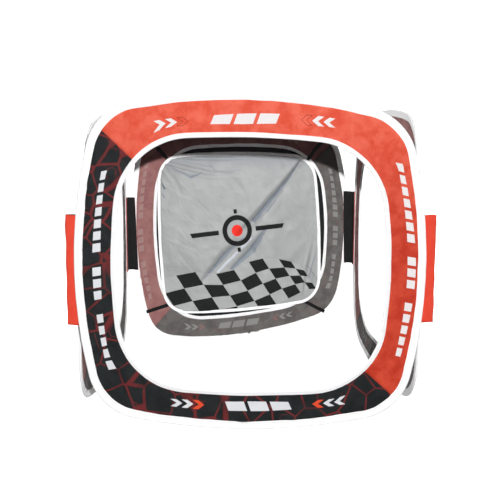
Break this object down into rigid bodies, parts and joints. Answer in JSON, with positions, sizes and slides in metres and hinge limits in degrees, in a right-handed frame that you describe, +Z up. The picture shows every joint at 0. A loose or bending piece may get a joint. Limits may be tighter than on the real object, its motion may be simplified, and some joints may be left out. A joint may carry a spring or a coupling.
{
  "type": "pop-up cube target",
  "caption": "Pop-up fabric cube of hinged rounded-square rings, open at top and bottom, with a silver target panel strapped across the inside of the back ring.",
  "frame": {"origin": "on the floor, under the middle of the cube", "axes": "+Z up, the open front ring faces -Y, +X to the right seen from the front"},
  "size_m": [0.8138, 0.8267, 0.738],
  "materials": {
    "white_binding": "satin",
    "red_cloth": "satin",
    "black_cloth": "satin",
    "hoop_steel": "satin",
    "red_tape": "matte",
    "black_tape": "matte",
    "back_sheet": "matte",
    "silver_cloth": "glossy",
    "black_strap": "matte"
  },
  "bodies": {
    "front_ring": {"front_outer_hoop": "hoop_steel", "front_inner_hoop": "hoop_steel", "front_hoop_sleeves": "hoop_steel", "front_outer_binding": "white_binding", "front_inner_binding": "white_binding", "front_red_panel": "red_cloth", "front_black_panel": "black_cloth", "front_ring_left_red_tape": "red_tape", "front_ring_left_black_tape": "black_tape", "front_ring_right_red_tape": "red_tape", "front_ring_right_black_tape": "black_tape"},
    "left_ring": {"left_outer_hoop": "hoop_steel", "left_inner_hoop": "hoop_steel", "left_hoop_sleeves": "hoop_steel", "left_outer_binding": "white_binding", "left_inner_binding": "white_binding", "left_red_panel": "red_cloth", "left_black_panel": "black_cloth", "left_ring_front_red_tape": "red_tape", "left_ring_front_black_tape": "black_tape", "left_ring_back_red_tape": "red_tape", "left_ring_back_black_tape": "black_tape"},
    "right_ring": {"right_outer_hoop": "hoop_steel", "right_inner_hoop": "hoop_steel", "right_hoop_sleeves": "hoop_steel", "right_outer_binding": "white_binding", "right_inner_binding": "white_binding", "right_red_panel": "red_cloth", "right_black_panel": "black_cloth", "right_ring_front_red_tape": "red_tape", "right_ring_front_black_tape": "black_tape", "right_ring_back_red_tape": "red_tape", "right_ring_back_black_tape": "black_tape"},
    "back_ring": {"back_outer_hoop": "hoop_steel", "back_inner_hoop": "hoop_steel", "back_hoop_sleeves": "hoop_steel", "back_outer_binding": "white_binding", "back_inner_binding": "white_binding", "back_red_panel": "red_cloth", "back_black_panel": "black_cloth", "back_ring_left_red_tape": "red_tape", "back_ring_left_black_tape": "black_tape", "back_ring_right_red_tape": "red_tape", "back_ring_right_black_tape": "black_tape", "black_back_sheet": "back_sheet", "target_hoop": "hoop_steel", "target_hoop_sleeve": "hoop_steel", "target_binding": "white_binding", "target_silver_face": "silver_cloth", "upper_left_strap": "black_strap", "upper_right_strap": "black_strap", "lower_left_strap": "black_strap", "lower_right_strap": "black_strap"}
  },
  "joints": [
    {"name": "left_fold", "type": "hinge", "parent": "front_ring", "child": "left_ring", "pos_m": [-0.38405, -0.392, 0.362], "axis": [0, 0, 1], "range_deg": [-88, 88]},
    {"name": "right_fold", "type": "hinge", "parent": "front_ring", "child": "right_ring", "pos_m": [0.38405, -0.392, 0.362], "axis": [0, 0, 1], "range_deg": [-88, 88]},
    {"name": "back_fold", "type": "hinge", "parent": "left_ring", "child": "back_ring", "pos_m": [-0.38405, 0.392, 0.362], "axis": [0, 0, 1], "range_deg": [-88, 88]}
  ],
  "couplings": [
    {"joint": "right_fold", "follows": "left_fold", "ratio": 1},
    {"joint": "back_fold", "follows": "left_fold", "ratio": -1}
  ]
}
